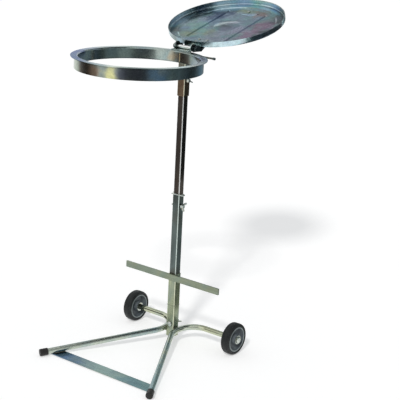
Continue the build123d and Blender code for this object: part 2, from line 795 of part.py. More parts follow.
pieces = {
    "foot_bar": make_foot_bar(),
    "base_socket": make_base_socket(),
    "base_bolt": make_base_bolt(),
    "base_washer": make_base_washer(),
    "base_wing_nut": make_base_wing_nut(),
    "crossbar_sleeve": square_tube(sleeve_size, sleeve_wall, base_socket_top, crossbar_sleeve_top),
    "crossbar": make_crossbar(),
    "lower_post_tube": make_lower_post_tube(),
    "upper_post_tube": make_upper_post_tube(),
    "post_wing_screw": make_post_screw(),
    "post_washer": make_post_washer(),
    "post_nut": make_post_nut(),
    "height_clip": make_height_clip(),
    "top_socket": make_top_socket(),
    "socket_nut": make_socket_nut(),
    "socket_wing_screw": make_socket_screw(),
    "bag_hoop": make_bag_hoop(),
    "outer_band": make_outer_band(),
    "ring_stay": make_ring_stay(),
    "roll_peg": make_roll_peg(),
    "peg_cap": make_peg_cap(),
    "ring_hinge_bracket": make_ring_bracket(),
    "hinge_spacer": make_hinge_spacer(),
    "hinge_bolt": make_hinge_bolt(),
    "hinge_washers": make_hinge_washers(),
    "hinge_nut": make_hinge_nut(),
    "lid_pan": make_lid_pan(),
    "lid_hinge_bracket": make_lid_bracket(),
    "lid_rivets": make_lid_rivets(),
    "lid_knob": make_lid_knob(),
    "knob_screw": make_knob_screw(),
}

# Pieces that the two sides have alike, made for the right and mirrored for the left
right_pieces = {
    "leg_tube": make_leg_tube(),
    "foot_cap": make_foot_cap(),
    "tyre": make_tyre(),
    "rim": make_rim(),
    "axle_bolt": make_axle_bolt(),
    "axle_plug": make_axle_plug(),
    "axle_nut": make_axle_nut(),
    "axle_washers": make_axle_washers(),
    "axle_cap": make_axle_cap(),
}
for name, piece in right_pieces.items():
    for word, side in (("left", -1), ("right", 1)):
        pieces[f"{word}_{name}"] = mirror_side(piece, side)

# The origin is under the middle of the whole stand, on the floor
extent = Compound([piece.moved(Location()) for piece in pieces.values()]).bounding_box()
to_origin = Pos(-extent.center().X, -extent.center().Y, -extent.min.Z)

os.makedirs("parts", exist_ok=True)
for name, piece in pieces.items():
    export_step(to_origin * piece, f"parts/{name}.step")
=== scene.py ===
import math
import random

import bpy
from mathutils import Matrix, Vector


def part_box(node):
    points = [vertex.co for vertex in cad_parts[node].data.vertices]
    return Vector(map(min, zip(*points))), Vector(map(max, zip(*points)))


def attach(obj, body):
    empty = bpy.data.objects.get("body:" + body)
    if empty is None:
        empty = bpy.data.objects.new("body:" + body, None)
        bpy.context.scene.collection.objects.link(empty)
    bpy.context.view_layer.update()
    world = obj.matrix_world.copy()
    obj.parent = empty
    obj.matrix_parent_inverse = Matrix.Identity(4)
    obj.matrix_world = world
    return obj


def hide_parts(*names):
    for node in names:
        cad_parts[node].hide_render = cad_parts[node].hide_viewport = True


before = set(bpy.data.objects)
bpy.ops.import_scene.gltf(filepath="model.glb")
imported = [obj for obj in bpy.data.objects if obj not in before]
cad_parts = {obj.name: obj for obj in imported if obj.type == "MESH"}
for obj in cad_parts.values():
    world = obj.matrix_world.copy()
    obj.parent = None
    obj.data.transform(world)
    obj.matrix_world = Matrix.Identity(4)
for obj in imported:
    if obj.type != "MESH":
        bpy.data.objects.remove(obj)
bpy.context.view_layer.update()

# Legs
# Two bent round steel tubes, each from its foot to the base socket, where it is welded, and out to
# a wheel. Along the bends the plating is a little yellow and painted brighter, a painted
# highlight.
random.seed(11)


def tone(red, green, blue):
    """A colour written as it looks on a screen, 0 to 255, turned into the shader's values"""
    return tuple(((c / 255 + 0.055) / 1.055) ** 2.4 for c in (red, green, blue)) + (1.0,)


def add(tree, kind, inputs=None, **settings):
    """A shader node with its own settings. Each input is a value or the output of another node"""
    made = tree.nodes.new(kind)
    for key, value in settings.items():
        setattr(made, key, value)
    for key, value in (inputs or {}).items():
        if isinstance(value, bpy.types.NodeSocket):
            tree.links.new(value, made.inputs[key])
        else:
            made.inputs[key].default_value = value
    return made


def reckon(tree, operation, *values):
    """A sum worked out on one, two or three values"""
    return add(tree, "ShaderNodeMath", dict(enumerate(values)), operation=operation).outputs[0]


def noise(tree, scale, detail, stretch=(1, 1, 1), offset=0.0):
    """Noise in the object's own metres, drawn out along an axis where stretch is small"""
    place = add(tree, "ShaderNodeTexCoord").outputs["Object"]
    inputs = {"Vector": place, "Location": (offset, offset, offset), "Scale": stretch}
    moved = add(tree, "ShaderNodeMapping", inputs).outputs["Vector"]
    inputs = {"Vector": moved, "Scale": scale, "Detail": detail, "Roughness": 0.55}
    return add(tree, "ShaderNodeTexNoise", inputs).outputs["Fac"]


def spread(tree, value, low, high, start=0.32, end=0.68, **settings):
    """A value stretched to run from low to high. The usual start and end suit a noise"""
    inputs = {"Value": value, "From Min": start, "From Max": end, "To Min": low, "To Max": high}
    return add(tree, "ShaderNodeMapRange", inputs, **settings).outputs["Result"]


def ramp(tree, value, colours):
    """Colours in even steps along a value"""
    made = add(tree, "ShaderNodeValToRGB", {"Fac": value})
    stops = made.color_ramp.elements
    last = len(colours) - 1
    for i in range(1, last):
        stops.new(i / last)
    for i, colour in enumerate(colours):
        stops[i].position = i / last
        stops[i].color = colour
    return made.outputs["Color"]


def mix(tree, below, above, amount, kind="MIX"):
    """One colour laid over another"""
    inputs = {"Fac": amount, "Color1": below, "Color2": above}
    return add(tree, "ShaderNodeMixRGB", inputs, blend_type=kind).outputs["Color"]


def bump(tree, value, height, strength, normal=None):
    """Small unevenness, its height in metres"""
    inputs = {"Height": value, "Distance": height, "Strength": strength}
    if normal is not None:
        inputs["Normal"] = normal
    return add(tree, "ShaderNodeBump", inputs).outputs["Normal"]


def patch(tree, colour, middle, radius, tint, amount=0.85):
    """A tinted place on the metal, fading out unevenly round its middle, used for tints of the
    plating and for painted reflections and shade
    """
    place = add(tree, "ShaderNodeTexCoord").outputs["Object"]
    away = add(tree, "ShaderNodeVectorMath", {0: place, 1: middle}, operation="DISTANCE")
    uneven = spread(tree, noise(tree, scale=22, detail=2, offset=radius), -0.5, 0.5)
    wander = reckon(tree, "MULTIPLY_ADD", uneven, radius, away.outputs["Value"])
    inner, outer = radius * 0.1, radius * 1.3
    fade = spread(tree, wander, amount, 0.0, inner, outer, interpolation_type="SMOOTHSTEP")
    return mix(tree, colour, tint, fade)


def zinc(
    name,
    tints,
    cloud=9.0,
    streak=(1, 1, 1),
    gloss=(0.2, 0.34),
    wave=0.0004,
    edge=0.0,
    corner=0.012,
    nook_shade=0.35,
    patches=(),
    corner_highlight=None,
):
    """Zinc plating: clouds of tints with fine streaks, a gloss that wanders and slow waves.

    Edges are rounded over the radius edge, and within the distance corner nooks get a painted
    shade, as dark as nook_shade. Each of the patches, tints of the plating and painted reflections
    and shade, is a middle, a radius, a tint and how strong it is. The corners of a square tube may
    get a painted highlight in the colour corner_highlight
    """
    made = bpy.data.materials.new(name)
    made.use_nodes = True
    tree = made.node_tree
    shader = tree.nodes["Principled BSDF"]
    shader.inputs["Metallic"].default_value = 1.0
    clouds = spread(tree, noise(tree, scale=cloud, detail=2, offset=len(name) * 0.37), 0, 1)
    colour = ramp(tree, clouds, tints)
    for spot in patches:
        colour = patch(tree, colour, *spot)
    streaks = spread(tree, noise(tree, scale=160, detail=3, stretch=streak), 0, 1)
    shade = ramp(tree, streaks, (tone(226, 226, 226), tone(255, 255, 255)))
    colour = mix(tree, colour, shade, 0.8, "MULTIPLY")
    # Painted shade: nooks found by ambient occlusion are darkened
    nook = add(tree, "ShaderNodeAmbientOcclusion", {"Distance": corner}, samples=6)
    clear = spread(tree, nook.outputs["AO"], 0, 1, 0.35, 0.95)
    painted_nook_shade = ramp(tree, clear, ((nook_shade, nook_shade, nook_shade, 1), (1, 1, 1, 1)))
    colour = mix(tree, colour, painted_nook_shade, 1.0, "MULTIPLY")
    rough = spread(tree, noise(tree, scale=35, detail=4), *gloss)
    if corner_highlight:
        # A painted highlight on the corners, which are where the surface faces neither straight
        # across nor straight ahead
        turned = add(tree, "ShaderNodeTexCoord").outputs["Normal"]
        facing = add(tree, "ShaderNodeSeparateXYZ", {"Vector": turned}).outputs
        across, ahead = (reckon(tree, "ABSOLUTE", facing[axis]) for axis in "XY")
        corner_highlight_mask = spread(tree, reckon(tree, "MAXIMUM", across, ahead), 1, 0, 0.86, 0.992)
        colour = mix(tree, colour, corner_highlight, corner_highlight_mask)
        rough = reckon(tree, "MAXIMUM", rough, reckon(tree, "MULTIPLY", 0.5, corner_highlight_mask))
    normal = None
    if edge:
        normal = add(tree, "ShaderNodeBevel", {"Radius": edge}, samples=4).outputs["Normal"]
    normal = bump(tree, noise(tree, scale=16, detail=2), wave, 0.6, normal)
    normal = bump(tree, noise(tree, scale=700, detail=3, stretch=streak), 0.00002, 0.4, normal)
    for key, value in (("Base Color", colour), ("Roughness", rough), ("Normal", normal)):
        tree.links.new(value, shader.inputs[key])
    return made


def dress(material, *names):
    """Gives CAD nodes their finish"""
    for name in names:
        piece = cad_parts[name]
        piece.data.materials.clear()
        piece.data.materials.append(material)


def mesh_piece(name, points, faces, material, body, sharp=40):
    """A new piece from its points and faces, riding on a body of the stand"""
    data = bpy.data.meshes.new(name)
    data.from_pydata([tuple(p) for p in points], [], faces)
    data.validate()
    data.shade_smooth()
    data.set_sharp_from_angle(angle=math.radians(sharp))
    data.materials.append(material)
    piece = bpy.data.objects.new(name, data)
    bpy.context.scene.collection.objects.link(piece)
    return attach(piece, body)


def sweep(path, radii, around=10):
    """Points and faces of a round bar along a path, with its own radius at each point"""
    points, faces = [], []
    side = None
    for i, spot in enumerate(path):
        ahead = (path[min(i + 1, len(path) - 1)] - path[max(i - 1, 0)]).normalized()
        if side is None:
            side = ahead.orthogonal().normalized()
        side = (side - ahead * side.dot(ahead)).normalized()
        other = ahead.cross(side)
        for k in range(around):
            t = 2 * math.pi * k / around
            points.append(spot + (side * math.cos(t) + other * math.sin(t)) * radii[i])
    for i in range(len(path) - 1):
        for k in range(around):
            a, b = i * around + k, i * around + (k + 1) % around
            faces.append((a, b, b + around, a + around))
    faces.append(tuple(reversed(range(around))))
    faces.append(tuple(range(len(points) - around, len(points))))
    return points, faces


weld_zinc = zinc(
    "weld_zinc",
    (tone(120, 122, 112), tone(150, 152, 140), tone(104, 100, 90)),
    cloud=120,
    gloss=(0.3, 0.5),
    wave=0.0006,
)


def weld(name, path, radius, body, material=weld_zinc):
    """A weld bead: rippled metal laid along a line of points"""
    fine = [path[0]]
    for start, end in zip(path, path[1:]):
        steps = max(2, round((end - start).length / (radius * 0.3)))
        fine += [start.lerp(end, (i + 1) / steps) for i in range(steps)]
    radii = []
    for i in range(len(fine)):
        taper = min(1.0, 0.45 + 0.2 * min(i, len(fine) - 1 - i))
        ripple = 0.88 + 0.2 * abs(math.sin(i * 0.75)) + random.uniform(-0.05, 0.05)
        radii.append(radius * taper * ripple)
    return mesh_piece(name, *sweep(fine, radii, 8), material, body, 60)


leg_zinc = zinc(
    "leg_zinc",
    (tone(178, 192, 184), tone(198, 206, 192), tone(170, 188, 188), tone(192, 196, 176)),
    cloud=8,
    gloss=(0.1, 0.17),
    wave=0.00006,
    corner=0.006,
    patches=[
        # A yellow tint with a painted highlight along the bends
        ((0.12, 0.07, 0.05), 0.09, tone(206, 208, 172), 0.7),
        ((-0.12, 0.07, 0.05), 0.09, tone(206, 208, 172), 0.7),
        ((0.19, -0.3, 0.02), 0.16, tone(144, 172, 176), 0.8),
    ],
)
dress(leg_zinc, "left_leg_tube", "right_leg_tube")
socket_low, socket_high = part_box("base_socket")
post_x = (socket_low.x + socket_high.x) / 2
post_y = (socket_low.y + socket_high.y) / 2
tyre_low, tyre_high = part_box("right_tyre")
axle_y = (tyre_low.y + tyre_high.y) / 2
axle_z = (tyre_low.z + tyre_high.z) / 2
cap_low, cap_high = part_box("right_foot_cap")
foot = (cap_low + cap_high) / 2
leg_rise = (axle_z - foot.z) / (axle_y - foot.y)
sides = (("left", -1), ("right", 1))
leg_weld_radius = 0.0022
leg_weld_rise = 0.0068
leg_weld_x = socket_high.x + 0.0018
leg_weld_start = socket_low.y + 0.0005
for word, side in sides:
    for part, rise in (("upper", leg_weld_rise), ("lower", -leg_weld_rise)):
        seam = []
        for i in range(6):
            y = leg_weld_start + i * leg_weld_radius
            height = foot.z + (y - foot.y) * leg_rise
            seam.append(Vector((side * leg_weld_x, y, height + rise)))
        weld(f"{word}_leg_weld_{part}", seam, leg_weld_radius, "stand")

# Foot caps
# Black plastic caps pushed over the front ends of the tubes, moulded with a slightly grained
# face that has gone dull unevenly.


def plastic(name, dark, light, gloss, grain=500.0, grain_height=0.00008, cloud=40.0):
    """Moulded plastic or rubber: an even colour with wear, a grain and an uneven gloss"""
    made = bpy.data.materials.new(name)
    made.use_nodes = True
    tree = made.node_tree
    shader = tree.nodes["Principled BSDF"]
    shader.inputs["Specular IOR Level"].default_value = 0.4
    colour = ramp(tree, spread(tree, noise(tree, scale=cloud, detail=5), 0, 1), (dark, light))
    rough = spread(tree, noise(tree, scale=70, detail=4), *gloss)
    normal = bump(tree, noise(tree, scale=grain, detail=4), grain_height, 0.5)
    for key, value in (("Base Color", colour), ("Roughness", rough), ("Normal", normal)):
        tree.links.new(value, shader.inputs[key])
    return made


cap_plastic = plastic("cap_plastic", tone(20, 20, 19), tone(38, 37, 36), (0.35, 0.6))
dress(cap_plastic, "left_foot_cap", "right_foot_cap")

# Foot bar
# A thin flat bar of mild steel across the feet, its ends cut along the legs. It is welded under
# both tubes, with a long bead along the inner side of each and a short one along the outer side.
flat_zinc = zinc(
    "flat_zinc",
    (tone(108, 132, 142), tone(132, 154, 154), tone(146, 166, 156), tone(104, 128, 138)),
    cloud=10,
    streak=(0.06, 1, 1),
    gloss=(0.2, 0.32),
    edge=0.0006,
    wave=0.0002,
    corner=0.006,
    patches=[
        ((-0.18, foot.y + 0.03, 0.0), 0.07, tone(100, 134, 168), 0.8),
        ((0.02, foot.y + 0.03, 0.0), 0.1, tone(158, 184, 174), 0.9),
        ((0.14, foot.y + 0.03, 0.0), 0.08, tone(118, 156, 162), 0.8),
    ],
)
dress(flat_zinc, "foot_bar")
bar_low, bar_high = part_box("foot_bar")
leg_radius = 0.009
leg_bend = 0.068
bend_middle = Vector((socket_high.x + leg_radius + leg_bend, axle_y - leg_bend))
to_bend = bend_middle - foot.xy
leg_turn = math.atan2(to_bend.y, to_bend.x) + math.asin(leg_bend / to_bend.length)


def leg_spot(y, side):
    """Middle of the leg tube where it passes a place along Y"""
    x = foot.x + (y - foot.y) / math.tan(leg_turn)
    return Vector((side * x, y, foot.z + (y - foot.y) * leg_rise))


foot_weld_radius = 0.0019
foot_weld_offset = 0.0066
foot_weld_rise = 0.0017
foot_weld_start = bar_low.y + 0.003
foot_weld_step = 0.004
foot_welds = (("inner", -foot_weld_offset, range(8)), ("outer", foot_weld_offset, range(1, 4)))
for word, side in sides:
    for part, offset, steps in foot_welds:
        seam = []
        for i in steps:
            y = foot_weld_start + i * foot_weld_step
            spot = leg_spot(y, side)
            height = spot.z - leg_radius + foot_weld_rise
            seam.append(Vector((spot.x + side * offset, y, height)))
        weld(f"{word}_foot_weld_{part}", seam, foot_weld_radius, "stand")

# Wheels
# A solid rubber tyre with a moulding line round its tread is pressed on a dished plastic rim. The
# rim is moulded in one piece with its long hub, and has a thin bead next to the tyre, made pale
# as a painted highlight along the rim's edge.


def lathe(profile, middle, axis, around=120):
    """Points and faces of a turned piece: profile is a closed line of (radius, along the axis)"""
    axis = axis.normalized()
    side = axis.orthogonal().normalized()
    other = axis.cross(side)
    points, faces = [], []
    count = len(profile)
    for k in range(around):
        t = 2 * math.pi * k / around
        out = side * math.cos(t) + other * math.sin(t)
        points += [middle + out * r + axis * a for r, a in profile]
    for k in range(around):
        n = (k + 1) % around
        for i in range(count):
            j = (i + 1) % count
            faces.append((k * count + i, k * count + j, n * count + j, n * count + i))
    return points, faces


tyre_rubber = plastic(
    "tyre_rubber",
    tone(14, 17, 18),
    tone(28, 32, 33),
    (0.42, 0.62),
    grain=700,
    grain_height=0.0001,
    cloud=60,
)
rim_plastic = plastic(
    "rim_plastic",
    tone(70, 77, 84),
    tone(96, 104, 108),
    (0.3, 0.48),
    grain=900,
    grain_height=0.00005,
    cloud=50,
)
# Pale bead colour: a painted highlight along the rim's edge
bead_highlight_plastic = plastic(
    "bead_highlight_plastic",
    tone(140, 152, 152),
    tone(166, 176, 176),
    (0.28, 0.42),
    grain=900,
    grain_height=0.00004,
    cloud=60,
)
tyre_radius = (tyre_high.z - tyre_low.z) / 2
tyre_half = (tyre_high.x - tyre_low.x) / 2
rim_low, rim_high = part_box("right_rim")
seat_radius = (rim_high.z - rim_low.z) / 2 + 0.00005
rim_half = 0.0135
tyre_side = [
    # Lip over the rim, and the flat side
    (seat_radius, rim_half),
    (seat_radius + 0.0006, tyre_half - 0.0003),
    (seat_radius + 0.0016, tyre_half),
    (seat_radius + 0.0022, tyre_half - 0.0006),
    (seat_radius + 0.0030, tyre_half - 0.0004),
    (tyre_radius - 0.0062, tyre_half),
    # Shoulder, and a groove along it
    (tyre_radius - 0.0042, tyre_half - 0.0005),
    (tyre_radius - 0.0024, tyre_half - 0.0018),
    (tyre_radius - 0.0010, tyre_half - 0.0038),
    (tyre_radius - 0.0003, 0.0088),
    (tyre_radius - 0.0009, 0.0082),
    (tyre_radius - 0.0009, 0.0072),
    # Tread up to the moulding line in its middle
    (tyre_radius - 0.0001, 0.0066),
    (tyre_radius - 0.0001, 0.0006),
    (tyre_radius, 0.0003),
]
tyre_profile = tyre_side + [(r, -a) for r, a in reversed(tyre_side)]
edge = rim_half - 0.0002
bead_profile = [
    (seat_radius - 0.0042, edge - 0.0006),
    (seat_radius - 0.0036, edge + 0.0004),
    (seat_radius - 0.0022, edge + 0.0010),
    (seat_radius - 0.0008, edge + 0.0004),
    (seat_radius - 0.0006, edge - 0.0006),
]
across = Vector((1, 0, 0))
for word, side in sides:
    middle = Vector((side * (tyre_low.x + tyre_high.x) / 2, axle_y, axle_z))
    shape = lathe(tyre_profile, middle, across, 144)
    tyre = mesh_piece(f"{word}_tyre_tread", *shape, tyre_rubber, f"{word}_wheel", 30)
    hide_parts(f"{word}_tyre")
    dress(rim_plastic, f"{word}_rim")
    for part, sign in (("outer", side), ("inner", -side)):
        shape = lathe([(r, sign * a) for r, a in bead_profile], middle, across)
        mesh_piece(f"{word}_rim_bead_{part}", *shape, bead_highlight_plastic, f"{word}_wheel", 60)

# Axles
# A bolt in a plug in the end of each tube, a lock nut against the tube, a plain washer on
# either side of the hub, and a domed steel cap pushed on the bolt's end. A thin dark ring
# round the cap's foot is a painted shadow.
bolt_zinc = zinc(
    "bolt_zinc",
    (tone(204, 212, 204), tone(226, 230, 220), tone(186, 198, 196), tone(216, 214, 194)),
    cloud=50,
    gloss=(0.2, 0.32),
    edge=0.0004,
    corner=0.003,
)
dark_zinc = zinc(
    "dark_zinc",
    (tone(96, 100, 92), tone(124, 128, 118), tone(84, 84, 76)),
    cloud=90,
    gloss=(0.24, 0.4),
    edge=0.0004,
)
# A thin dark ring round each cap's foot, a painted shadow
shadow_ring_profile = [(0.0098, 0.0), (0.0112, 0.0), (0.0110, 0.0006), (0.0099, 0.0009)]
for word, side in sides:
    dress(bolt_zinc, f"{word}_axle_washers", f"{word}_axle_cap", f"{word}_axle_bolt")
    dress(dark_zinc, f"{word}_axle_nut", f"{word}_axle_plug")
    dome_low, dome_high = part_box(f"{word}_axle_cap")
    middle = Vector((dome_low.x if side > 0 else dome_high.x, axle_y, axle_z))
    shape = lathe([(r, side * (a + 0.00005)) for r, a in shadow_ring_profile], middle, across, 60)
    mesh_piece(f"{word}_axle_cap_shadow_ring", *shape, dark_zinc, "stand", 60)

# Base socket
# A square steel tube welded upright between the two legs. The post stands in it, held by a
# round-head bolt from the front with a wing nut on a washer behind.
sleeve_zinc = zinc(
    "sleeve_zinc",
    (tone(160, 170, 142), tone(170, 178, 150), tone(150, 162, 146), tone(166, 168, 134)),
    cloud=14,
    streak=(1, 1, 0.05),
    gloss=(0.18, 0.28),
    edge=0.0006,
    wave=0.0002,
    corner=0.006,
    # A painted highlight along the corners
    corner_highlight=tone(230, 232, 206),
)
dress(sleeve_zinc, "base_socket", "crossbar_sleeve")
dress(bolt_zinc, "base_bolt", "base_washer", "base_wing_nut")


def thread(name, start, end, radius, pitch, material, body):
    """The rolled thread on the end of a screw, one ridge wound round it"""
    along = end - start
    side = along.orthogonal().normalized()
    other = along.normalized().cross(side)
    turns = along.length / pitch
    steps = 24
    path = []
    for i in range(round(turns * steps) + 1):
        t = 2 * math.pi * i / steps
        out = (side * math.cos(t) + other * math.sin(t)) * radius
        path.append(start + along * (i / steps / turns) + out)
    return mesh_piece(name, *sweep(path, [pitch * 0.3] * len(path), 6), material, body, 80)


bolt_low, bolt_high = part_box("base_bolt")
bolt_z = (bolt_low.z + bolt_high.z) / 2
thread(
    "base_bolt_thread",
    Vector((post_x, bolt_high.y - 0.0032, bolt_z)),
    Vector((post_x, bolt_high.y - 0.0006, bolt_z)),
    radius=0.00385,
    pitch=0.00125,
    material=bolt_zinc,
    body="stand",
)

# Crossbar and its sleeve
# A second square sleeve slides over the post and rests on the socket, with a dark line where
# they meet. A flat bar with slightly rounded corners is welded across its front, from below.
bar_zinc = zinc(
    "bar_zinc",
    (tone(132, 144, 128), tone(144, 156, 140), tone(150, 158, 136), tone(136, 154, 144)),
    cloud=9,
    streak=(0.05, 1, 1),
    gloss=(0.24, 0.4),
    edge=0.0007,
)
dress(bar_zinc, "crossbar")
cross_low, cross_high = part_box("crossbar")
bead_y = cross_high.y + 0.0004
bead_z = cross_low.z - 0.0006
seam = [Vector((x, bead_y, bead_z)) for x in (-0.0115, -0.004, 0.004, 0.0115)]
weld("crossbar_weld_under", seam, 0.0014, "stand")
line_radius = 0.0006
line_half = (socket_high.x - socket_low.x) / 2 - line_radius / 2
joint_line = []
for i in range(65):
    t = 2 * math.pi * i / 64 + math.pi / 4
    x, y = (max(-1, min(1, 1.5 * part)) * line_half for part in (math.cos(t), math.sin(t)))
    joint_line.append(Vector((post_x + x, post_y + y, socket_high.z)))
shape = sweep(joint_line, [line_radius] * len(joint_line), 6)
mesh_piece("sleeve_joint_line", *shape, dark_zinc, "stand", 60)

# Lower and upper post tubes
# Two square tubes, one sliding in the other, which set the ring's height. The plating of the drawn
# tubes is darker than on the sleeves, with fine lengthwise marks from sliding, and a painted
# highlight along the corners.
lower_zinc = zinc(
    "lower_zinc",
    (tone(90, 92, 86), tone(104, 116, 114), tone(86, 94, 92), tone(98, 99, 90)),
    cloud=8,
    streak=(1, 1, 0.03),
    gloss=(0.12, 0.2),
    wave=0.0002,
    corner=0.006,
    corner_highlight=tone(226, 238, 232),
)
upper_zinc = zinc(
    "upper_zinc",
    (tone(106, 94, 88), tone(114, 106, 99), tone(98, 90, 86), tone(114, 101, 92)),
    cloud=7,
    streak=(1, 1, 0.03),
    gloss=(0.12, 0.2),
    wave=0.0002,
    corner=0.006,
    corner_highlight=tone(252, 254, 252),
)
dress(lower_zinc, "lower_post_tube")
dress(upper_zinc, "upper_post_tube")

# Post screw and height clip
# A wing screw clamps the two tubes together through a nut on the left. A bent wire clip goes
# through the upper tube above it, rests on the lower tube's rim and snaps round its front.
dress(bolt_zinc, "post_wing_screw", "post_washer", "height_clip")
dress(dark_zinc, "post_nut")
screw_low, screw_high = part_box("post_wing_screw")
post_nut_low, post_nut_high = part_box("post_nut")
screw_z = (post_nut_low.z + post_nut_high.z) / 2
thread(
    "post_screw_thread",
    Vector((post_nut_low.x - 0.0008, post_y, screw_z)),
    Vector((screw_low.x + 0.0006, post_y, screw_z)),
    radius=0.00285,
    pitch=0.001,
    material=bolt_zinc,
    body="post_wing",
)

# Top socket
# The ring's own square socket goes over the upper tube. A nut is welded on its right side
# for the wing screw that clamps it. It is coloured brown, lighter on its upper front, with a
# painted highlight along its corners.
top_zinc = zinc(
    "top_zinc",
    (tone(160, 134, 110), tone(170, 146, 122), tone(148, 122, 100), tone(166, 142, 116)),
    cloud=12,
    streak=(1, 1, 0.06),
    gloss=(0.14, 0.24),
    edge=0.001,
    wave=0.0002,
    corner=0.006,
    patches=[((0, post_y - 0.014, 0.915), 0.05, tone(190, 198, 184))],
    corner_highlight=tone(240, 238, 214),
)
dress(top_zinc, "top_socket")
dress(bolt_zinc, "socket_wing_screw")
dress(dark_zinc, "socket_nut")
nut_low, nut_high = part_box("socket_nut")
nut_z = (nut_low.z + nut_high.z) / 2
nut_seam_radius = 0.0056
nut_seam = []
for i in range(25):
    t = 2 * math.pi * i / 24
    y, z = post_y + nut_seam_radius * math.cos(t), nut_z + nut_seam_radius * math.sin(t)
    nut_seam.append(Vector((nut_low.x + 0.0006, y, z)))
weld("socket_nut_weld", nut_seam, 0.0011, "mast")

# Ring
# The sack's mouth hangs over a rolled hoop with a wide flange turned outward. A flat band is
# rolled round under the flange, and a short block joins the band to the top socket.
ring_low, ring_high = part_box("bag_hoop")
ring_x = (ring_low.x + ring_high.x) / 2
ring_y = (ring_low.y + ring_high.y) / 2
ring_top = ring_high.z
band_low, band_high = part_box("outer_band")
band_radius = (band_high.x - band_low.x) / 2
flange_middle = 0.186
hoop_radius = 0.172


def ring_spot(turn, radius, below=0.0):
    """A place on the ring, turned from the front towards the right, under its top by a depth"""
    t = math.radians(turn)
    return (ring_x + radius * math.sin(t), ring_y - radius * math.cos(t), ring_top - below)


hoop_zinc = zinc(
    "hoop_zinc",
    (
        tone(142, 162, 164),
        tone(152, 172, 172),
        tone(160, 176, 168),
        tone(142, 160, 170),
        tone(148, 168, 172),
    ),
    cloud=6,
    gloss=(0.14, 0.22),
    wave=0.0003,
    corner=0.008,
    # Partly tints of the plating and partly painted reflections and shade
    patches=[
        (ring_spot(-66, flange_middle), 0.06, tone(84, 104, 148), 0.95),
        (ring_spot(-36, flange_middle), 0.07, tone(70, 106, 140), 0.95),
        (ring_spot(20, flange_middle), 0.035, tone(206, 216, 200), 0.9),
        (ring_spot(41, flange_middle), 0.035, tone(52, 82, 78), 0.95),
        (ring_spot(80, flange_middle), 0.04, tone(196, 220, 220), 0.8),
        (ring_spot(132, flange_middle), 0.07, tone(116, 134, 170), 0.85),
        (ring_spot(200, flange_middle), 0.06, tone(178, 190, 184), 0.8),
        (ring_spot(174, hoop_radius, 0.02), 0.03, tone(150, 132, 112), 0.8),
        (ring_spot(184, hoop_radius, 0.02), 0.02, tone(196, 180, 150), 0.8),
    ],
)
band_zinc = zinc(
    "band_zinc",
    (tone(134, 146, 144), tone(144, 154, 146), tone(130, 144, 150), tone(140, 150, 142)),
    cloud=6,
    gloss=(0.13, 0.21),
    wave=0.0003,
    corner=0.008,
    # Partly tints of the plating and partly painted reflections and shade, such as the dark brown
    # at the front
    patches=[
        (ring_spot(-42, band_radius, 0.02), 0.08, tone(176, 188, 170), 0.9),
        (ring_spot(-12, band_radius, 0.02), 0.035, tone(136, 122, 108), 0.9),
        (ring_spot(-2, band_radius, 0.02), 0.025, tone(164, 140, 120), 0.9),
        (ring_spot(13, band_radius, 0.026), 0.026, tone(224, 222, 158), 0.8),
        (ring_spot(27, band_radius, 0.02), 0.02, tone(128, 134, 150), 0.8),
        (ring_spot(40, band_radius, 0.02), 0.035, tone(124, 130, 140), 0.9),
        (ring_spot(56, band_radius, 0.02), 0.04, tone(110, 144, 172), 0.9),
        (ring_spot(76, band_radius, 0.02), 0.035, tone(122, 150, 150), 0.8),
        (ring_spot(108, band_radius, 0.02), 0.05, tone(126, 168, 184), 0.8),
    ],
)
dress(hoop_zinc, "bag_hoop")
dress(band_zinc, "outer_band", "ring_stay")
seam_turn = math.radians(3.5)
seam_x = ring_x + (hoop_radius + 0.0002) * math.sin(seam_turn)
seam_y = ring_y + (hoop_radius + 0.0002) * math.cos(seam_turn)
hoop_seam = [Vector((seam_x, seam_y, ring_top - h)) for h in (0.0295, 0.02, 0.012, 0.005)]
seam_zinc = zinc(
    "seam_zinc",
    (tone(206, 190, 150), tone(190, 170, 132), tone(214, 204, 170)),
    cloud=90,
    corner=0.001,
)
weld("hoop_seam_weld", hoop_seam, 0.0015, "mast", seam_zinc)
tack_count = 10
tack_radius = 0.0012
tack_middle = Vector((ring_x, ring_y, band_high.z - 0.0009))
for i in range(tack_count):
    turn = math.radians(20 + 360 / tack_count * i)
    seam = []
    for step in range(7):
        t = turn + math.radians(0.9 * step)
        out = Vector((math.sin(t), math.cos(t), 0)) * (band_radius - tack_radius / 2)
        seam.append(tack_middle + out)
    weld(f"band_tack_{i}", seam, tack_radius, "mast")

# Peg
# A thin round rod is welded across the back of the socket and stands out to the right. Its
# end has a short dark sleeve pushed on.
peg_plastic = plastic("peg_plastic", tone(52, 62, 64), tone(74, 84, 84), (0.3, 0.5))
dress(dark_zinc, "roll_peg")
dress(peg_plastic, "peg_cap")

# Hinge
# A folded plate with two ears sits on the flange and the socket. The lid's own bracket turns
# on a long bolt between them, over a spacer tube, with washers and a lock nut.
ear_x = 0.0298
bracket_zinc = zinc(
    "bracket_zinc",
    (tone(206, 226, 222), tone(226, 240, 234), tone(190, 210, 208), tone(220, 226, 210)),
    cloud=30,
    gloss=(0.2, 0.32),
    edge=0.0006,
    corner=0.003,
    # Painted shade on the two ears, darkest on the left
    patches=[
        ((-ear_x, post_y, ring_top + 0.012), 0.018, tone(44, 50, 50), 1.0),
        ((ear_x, post_y, ring_top + 0.012), 0.018, tone(74, 90, 92), 0.9),
    ],
)
ear_zinc = zinc(
    "ear_zinc",
    (tone(70, 82, 84), tone(90, 104, 106), tone(56, 62, 64)),
    cloud=30,
    gloss=(0.16, 0.28),
    edge=0.0006,
)
dress(bracket_zinc, "ring_hinge_bracket")
dress(ear_zinc, "lid_hinge_bracket")
